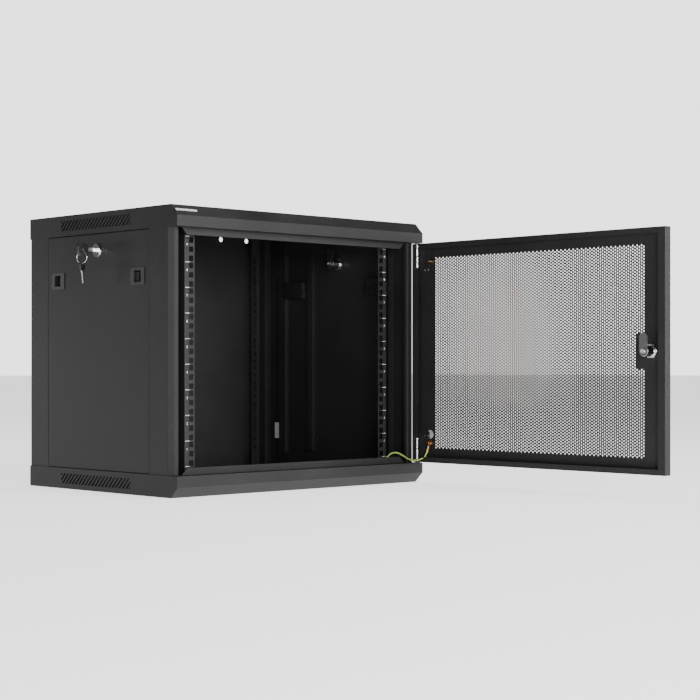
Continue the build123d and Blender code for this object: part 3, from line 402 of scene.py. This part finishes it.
def addCell(bm, middle, size, thick, settings):  # a hole and the metal round it
    flat = Matrix.Translation(middle)
    rim = bmesh.ops.create_grid(
        bm, x_segments=1, y_segments=2, size=0.5, matrix=flat @ Matrix.Diagonal((size.x, size.y, 1, 1))
    )["verts"]
    inner = {edge for vertex in rim for edge in vertex.link_edges if not edge.is_boundary}
    bmesh.ops.delete(bm, geom=list(inner), context="EDGES_FACES")
    hole = bmesh.ops.create_circle(
        bm, segments=settings["sides"], radius=settings["hole"] / 2,
        matrix=flat @ Matrix.Rotation(pi / settings["sides"], 4, "Z"),
    )["verts"]
    loops = {edge for vertex in rim + hole for edge in vertex.link_edges}
    bmesh.ops.bridge_loops(bm, edges=list(loops))
    skin = withParts(rim + hole)
    copy = bmesh.ops.duplicate(bm, geom=skin)
    bmesh.ops.translate(bm, vec=(0, 0, thick), verts=vertsOf(copy["geom"]))
    holeSet = set(hole)
    near = [edge for edge in edgesOf(skin) if set(edge.verts) <= holeSet]
    far = [copy["edge_map"][edge] for edge in near]
    bmesh.ops.bridge_loops(bm, edges=near + far)
    return withParts(rim + hole + vertsOf(copy["geom"]))


def addColumnPair(bm, settings, pitch, thick, notched):
    rows = settings["rows"]
    gap = settings["notchRows"] / 2 if notched else 0
    made = []
    for column, shift in ((0, 0.0), (1, 0.5)):
        middleX = (column + 0.5) * pitch.x
        runs = [(shift, rows - shift)]
        if notched:
            edge = gap + (0.5 if column else 0.0)
            runs = [(shift, rows / 2 - edge), (rows / 2 + edge, rows - shift)]
            if column:
                for low in (rows / 2 - edge, rows / 2 + gap):
                    made += addPlate(bm, Vector((column * pitch.x, low * pitch.y)),
                                     Vector(((column + 1) * pitch.x, (low + 0.5) * pitch.y)), thick)
        if column:
            for low in (0, rows - 0.5):
                made += addPlate(bm, Vector((column * pitch.x, low * pitch.y)),
                                 Vector(((column + 1) * pitch.x, (low + 0.5) * pitch.y)), thick)
        for low, high in runs:
            cell = addCell(bm, Vector((middleX, (low + 0.5) * pitch.y, 0)), pitch, thick, settings)
            made += repeat(bm, cell, Vector((0, pitch.y, 0)), round(high - low))
    return made


def addPerforation(settings):
    low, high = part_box("door_mesh")
    thick = high.x - low.x
    pitch = Vector(((high.y - low.y) / settings["columns"], (high.z - low.z) / settings["rows"]))
    onDoor = Matrix(((0, 0, -1, high.x), (-1, 0, 0, high.y), (0, 1, 0, low.z), (0, 0, 0, 1)))
    start = 0
    for number, columns in enumerate(settings["parts"], 1):
        bm = bmesh.new()
        notched = settings["notchColumns"] if number == len(settings["parts"]) else 0
        plain = columns - notched
        step = Vector((2 * pitch.x, 0, 0))
        repeat(bm, addColumnPair(bm, settings, pitch, thick, False), step, plain // 2)
        if notched:
            pair = addColumnPair(bm, settings, pitch, thick, True)
            bmesh.ops.translate(bm, vec=(plain * pitch.x, 0, 0), verts=vertsOf(pair))
            repeat(bm, pair, step, notched // 2)
        bmesh.ops.remove_doubles(bm, verts=bm.verts[:], dist=0.00002)
        border = [e for e in bm.edges if e.is_boundary and max(v.co.z for v in e.verts) < thick / 2]
        wall = bmesh.ops.extrude_edge_only(bm, edges=border)["geom"]
        bmesh.ops.translate(bm, vec=(0, 0, thick), verts=vertsOf(wall))
        bmesh.ops.remove_doubles(bm, verts=bm.verts[:], dist=0.00002)
        moved = onDoor @ Matrix.Translation((start * pitch.x, 0, 0))
        bmesh.ops.transform(bm, matrix=moved, verts=bm.verts[:])
        start += columns
        piece = finishPiece(bm, f"doorPerforation{number}", "black_coat", "door")
        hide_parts("door_mesh")


addPerforation(perforation)
print("door perforation made")

# keys: a moulded head on a cut steel blade; each is laid out with its blade pointing down
ringTurn = radians(-25)
tiltedRing = Vector((sin(ringTurn), cos(ringTurn), 0))
keyShapes = {
    "lockKey": {
        "node": "lock_key", "body": "key", "head": (0.024, 0.022, 0.005), "corner": 0.0077,
        "hole": (0.0019, 0.002), "blade": 0.037, "tooth": 0.018, "cut": 0.0,
    },
    "spareKey": {
        "node": "spare_key", "body": "spare", "head": (0.015, 0.017, 0.004), "corner": 0.00525,
        "hole": (0.0, 0.0028), "blade": 0.024, "tooth": 0.003, "cut": 0.0016,
    },
}
keyParts = {
    "holeRadius": 0.0035,
    "bladeWide": 0.0074,
    "bladeThick": 0.0020,
    "rim": 0.0007,
    "groove": (0.0011, 0.0003),  # in from the blade's edge, and deep
    "steps": 24,
    "point": 0.45,
    "spareDrop": 0.0011,  # the spare key's hole, below the ring's lowest point
}
spareLean = radians(-10)


def keyPlace(name):
    low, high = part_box(keyShapes[name]["node"])
    if name == "lockKey":
        middle = Vector((low.x + 0.011, (low.y + high.y) / 2, (low.z + high.z) / 2))
        across, along, flat = Vector((0, 0, -1)), Vector((-1, 0, 0)), Vector((0, 1, 0))
    else:
        side = Vector((-tiltedRing.y, tiltedRing.x, 0))
        up = Vector((0, 0, 1))
        across = side * cos(spareLean) + up * sin(spareLean)
        along = up * cos(spareLean) - side * sin(spareLean)
        flat = tiltedRing
        ringLow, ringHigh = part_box("key_ring")
        hole = (ringLow + ringHigh) / 2
        hole.z = ringLow.z - keyParts["spareDrop"]
        middle = hole - along * keyShapes[name]["hole"][1]
    place = Matrix((across, along, flat)).transposed().to_4x4()
    place.translation = middle
    return place


def addKeyHead(name, shape, parts, place):
    wide, tall, thick = shape["head"]
    bm = bmesh.new()
    face = bmesh.ops.create_grid(
        bm, x_segments=1, y_segments=1, size=0.5, matrix=Matrix.Diagonal((wide, tall, 1, 1))
    )["verts"]
    bmesh.ops.bevel(bm, geom=face, offset=shape["corner"], affect="VERTICES", segments=8, profile=0.5,
                    material=-1)
    bmesh.ops.delete(bm, geom=bm.faces[:], context="FACES_ONLY")
    holeMiddle = Matrix.Translation((*shape["hole"], 0))
    bmesh.ops.create_circle(bm, segments=36, radius=parts["holeRadius"], matrix=holeMiddle)
    bmesh.ops.bridge_loops(bm, edges=bm.edges[:])
    bmesh.ops.translate(bm, vec=(0, 0, -thick / 2), verts=bm.verts[:])
    top = bmesh.ops.extrude_face_region(bm, geom=bm.faces[:])["geom"]
    bmesh.ops.translate(bm, vec=(0, 0, thick), verts=vertsOf(top))
    bmesh.ops.recalc_face_normals(bm, faces=bm.faces[:])
    sharp = [edge for edge in bm.edges if len(edge.link_faces) == 2 and edge.calc_face_angle(0) > 1.0]
    bmesh.ops.bevel(
        bm, geom=sharp, offset=parts["rim"], affect="EDGES", segments=3, profile=0.5, material=-1
    )
    bmesh.ops.transform(bm, matrix=place, verts=bm.verts[:])
    piece = finishPiece(bm, name + "Head", "black_plastic", shape["body"], smooth=False)
    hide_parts(shape["node"])


def addKeyBlade(name, shape, parts, place):
    wide, thick, steps = parts["bladeWide"], parts["bladeThick"], parts["steps"]
    top = -shape["head"][1] / 2 + 0.0008
    long = shape["blade"] + 0.0003
    bm = bmesh.new()
    bmesh.ops.create_cube(bm, size=1, matrix=Matrix.Translation((0, top - long / 2, 0))
                          @ Matrix.Diagonal((wide, long, thick, 1)))
    runs = [e for e in bm.edges if abs(e.verts[0].co.y - e.verts[1].co.y) > long / 2]
    bmesh.ops.subdivide_edges(bm, edges=runs, cuts=steps, use_grid_fill=True)
    depths = (0.0, 0.9, 0.9, 0.3, 1.0, 0.6, 0.15, 0.8, 0.8, 0.4, 1.0, 0.5)  # the cuts along the edge
    for vertex in bm.verts:
        along = (top - vertex.co.y - shape["tooth"]) / (long - shape["tooth"])
        if vertex.co.x > 0 and 0.02 < along < 0.93:
            vertex.co.x -= shape["cut"] * depths[int(along * len(depths))]
        if along > 0.97:
            vertex.co.x *= parts["point"]
    sides = [face for face in bm.faces if abs(face.normal.z) > 0.9]
    bmesh.ops.inset_region(
        bm, faces=sides, thickness=parts["groove"][0], depth=-parts["groove"][1], use_even_offset=True
    )
    bmesh.ops.transform(bm, matrix=place, verts=bm.verts[:])
    piece = finishPiece(bm, name + "Blade", "zinc_steel", shape["body"])
    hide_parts(shape["node"])


for keyName, keyShape in keyShapes.items():
    addKeyHead(keyName, keyShape, keyParts, keyPlace(keyName))
    addKeyBlade(keyName, keyShape, keyParts, keyPlace(keyName))
print("keys made")

# printed unit numbers and unit lines on the four rails
railPrint = {
    "units": 9,
    "pitch": 0.04445,
    "edge": 0.0054,  # numbers' middle, in from the rail's outer edge
    "size": 0.0058,
    "drop": 0.0143,  # numbers' middle, below the unit's top
    "line": (0.0090, 0.0007),
    "thick": 0.00008,
}


def textMesh(words, size, thick):
    curve = bpy.data.curves.new("printText", "FONT")
    curve.body = words
    curve.size = size
    curve.extrude = thick / 2
    curve.align_x, curve.align_y = "CENTER", "CENTER"
    holder = bpy.data.objects.new("printText", curve)
    bpy.context.collection.objects.link(holder)
    bpy.context.view_layer.update()
    mesh = bpy.data.meshes.new_from_object(holder)
    bpy.data.objects.remove(holder)
    return mesh


def addRailPrint(node, facing, settings):  # facing is -1 towards the front, 1 towards the back
    low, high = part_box(node)
    right = low.x > 0
    faceY = low.y if facing < 0 else high.y
    outer = high.x if right else low.x
    inwards = -1 if right else 1
    side = 1 if facing < 0 else -1
    upright = Matrix(((side, 0, 0, 0), (0, 0, facing, 0), (0, 1, 0, 0), (0, 0, 0, 1)))
    middle = (low.z + high.z) / 2
    base = middle - settings["units"] * settings["pitch"] / 2
    faceOut = faceY + facing * settings["thick"] / 2
    bm = bmesh.new()
    for unit in range(settings["units"] + 1):
        z = base + unit * settings["pitch"]
        across, tall = settings["line"]
        place = Matrix.Translation((outer + inwards * (across / 2 + 0.0016), faceOut, z))
        size = Matrix.Diagonal((across, settings["thick"], tall, 1))
        bmesh.ops.create_cube(bm, size=1, matrix=place @ size)
        if unit < settings["units"]:
            mesh = textMesh(str(unit + 1), settings["size"], settings["thick"])
            top = z + settings["pitch"] - settings["drop"]
            place = Matrix.Translation((outer + inwards * settings["edge"], faceOut, top)) @ upright
            mesh.transform(place)
            bm.from_mesh(mesh)
    bmesh.ops.remove_doubles(bm, verts=bm.verts[:], dist=0.000002)
    piece = finishPiece(bm, node.replace("_", "") + "Print", "white_print", "cabinet")


for railEnd, railFacing in (("front", -1), ("rear", 1)):
    for railSide in ("left", "right"):
        addRailPrint(f"{railEnd}_{railSide}_rail", railFacing, railPrint)
print("rail print made")

# plain paper labels: a round one inside the door, an oblong one on the right rear post
labels = {
    "doorLabel": {
        "round": True, "size": (0.017, 0.017), "at": (0.2988, -0.2456, 0.0930), "body": "door",
    },
    "postLabel": {
        "round": False, "size": (0.013, 0.033), "at": (0.2885, 0.1905, 0.0895), "body": "cabinet",
    },
}


def addLabel(name, shape, thick=0.00025):
    bm = bmesh.new()
    wide, tall = shape["size"]
    if shape["round"]:
        bmesh.ops.create_circle(bm, cap_ends=True, segments=48, radius=wide / 2)
    else:
        bmesh.ops.create_grid(bm, x_segments=1, y_segments=1, size=0.5,
                              matrix=Matrix.Diagonal((wide, tall, 1, 1)))
        bmesh.ops.bevel(bm, geom=bm.verts[:], offset=0.0015, affect="VERTICES", segments=4, profile=0.5,
                        material=-1)
    bmesh.ops.inset_region(bm, faces=bm.faces[:], thickness=0.0012, depth=0)
    top = bmesh.ops.extrude_face_region(bm, geom=bm.faces[:])["geom"]
    bmesh.ops.translate(bm, vec=(0, 0, thick), verts=vertsOf(top))
    inner = [f for f in bm.faces if len(f.verts) > 4 and f.calc_center_median().z > thick / 2]
    bmesh.ops.translate(bm, vec=(0, 0, -thick * 0.4), verts=list({v for f in inner for v in f.verts}))
    # lies on a face that looks towards -X
    place = Matrix(((0, 0, -1, shape["at"][0]), (-1, 0, 0, shape["at"][1]), (0, 1, 0, shape["at"][2]),
                    (0, 0, 0, 1)))
    bmesh.ops.transform(bm, matrix=place, verts=bm.verts[:])
    piece = finishPiece(bm, name, "labelPaper", shape["body"])


for labelName, labelShape in labels.items():
    addLabel(labelName, labelShape)
print("labels made")

# CAD parts keep their shape and take the finish of their slot
slotOfNode = {part["node"]: part["material_slot"] for part in frame["record"]["subparts"]}
for nodeName, nodeObject in frame["nodes"].items():
    finish = slotOfNode[nodeName]
    if nodeName.endswith("_rail"):
        finish = "railCoat"
    if nodeName.endswith("_lock_cam"):
        finish = "camZinc"
    if not nodeObject.material_slots:
        nodeObject.data.materials.append(None)
    for materialSlot in nodeObject.material_slots:
        materialSlot.link = "OBJECT"
        materialSlot.material = paints[finish]
print("CAD parts finished")

# floor, daylight and soft lights
stage = {
    "floor": 60.0,
    "floorTone": 0.86,
    "floorGlow": 1.5,
    "sky": {"seen": 2.6, "horizon": 0.12, "zenith": 0.02},
    "lights": {
        "front": {"at": (0.7, -3.8, 0.8), "to": (0.1, -0.2, 0.28), "size": 2.0, "power": 200},
        "left": {"at": (-2.0, -3.3, 0.6), "to": (0.1, 0.0, 0.25), "size": 1.2, "power": 90},
        "backLeft": {"at": (-1.5, 3.2, 0.3), "to": (-0.3, 0.1, 0.1), "size": 0.5, "power": 7},
        "right": {"at": (3.2, -2.6, 0.8), "to": (0.3, -0.5, 0.25), "size": 1.6, "power": 25},
        "above": {"at": (0.4, 0.8, 3.2), "to": (0.0, 0.0, 0.4), "size": 2.5, "power": 35},
    },
}


def addStage(settings):
    bm = bmesh.new()
    bmesh.ops.create_grid(bm, x_segments=1, y_segments=1, size=settings["floor"] / 2)
    mesh = bpy.data.meshes.new("floor")
    bm.to_mesh(mesh)
    bm.free()
    floor = bpy.data.objects.new("floor", mesh)
    bpy.context.collection.objects.link(floor)
    paint = Paint("floorPaint", {
        "Roughness": 0.9, "Specular IOR Level": 0.0,
        "Emission Color": grey(1.0), "Emission Strength": settings["floorGlow"],
    })
    tone = settings["floorTone"]
    mesh.materials.append(paint.feed({
        "Base Color": paint.mix(paint.noise(0.8), grey(tone), grey(tone - 0.01)),
    }))
    for name, light in settings["lights"].items():
        data = bpy.data.lights.new(name, "AREA")
        data.shape = "DISK"
        data.size = light["size"]
        data.energy = light["power"]
        lamp = bpy.data.objects.new(name, data)
        lamp.location = light["at"]
        way = Vector(light["to"]) - Vector(light["at"])
        lamp.rotation_euler = way.to_track_quat("-Z", "Y").to_euler()
        bpy.context.collection.objects.link(lamp)


def addSky(sky):
    world = bpy.data.worlds.new("daylight")
    world.use_nodes = True
    bpy.context.scene.world = world
    nodes, links = world.node_tree.nodes, world.node_tree.links
    back = nodes["Background"]
    way = nodes.new("ShaderNodeTexCoord")
    split = nodes.new("ShaderNodeSeparateXYZ")
    links.new(way.outputs["Generated"], split.inputs[0])
    ramp = nodes.new("ShaderNodeValToRGB")
    stops = ((0.0, sky["horizon"]), (0.55, sky["zenith"]))
    for element, (place, level) in zip(ramp.color_ramp.elements, stops):
        element.position = place
        element.color = (level, level, level, 1)
    links.new(split.outputs["Z"], ramp.inputs["Fac"])
    seen = nodes.new("ShaderNodeLightPath")
    mix = nodes.new("ShaderNodeMix")
    mix.data_type = "RGBA"
    links.new(seen.outputs["Is Camera Ray"], mix.inputs[0])
    links.new(ramp.outputs["Color"], mix.inputs[6])
    mix.inputs[7].default_value = grey(sky["seen"])
    links.new(mix.outputs[2], back.inputs["Color"])


addStage(stage)
addSky(stage["sky"])
print("stage and lights made")
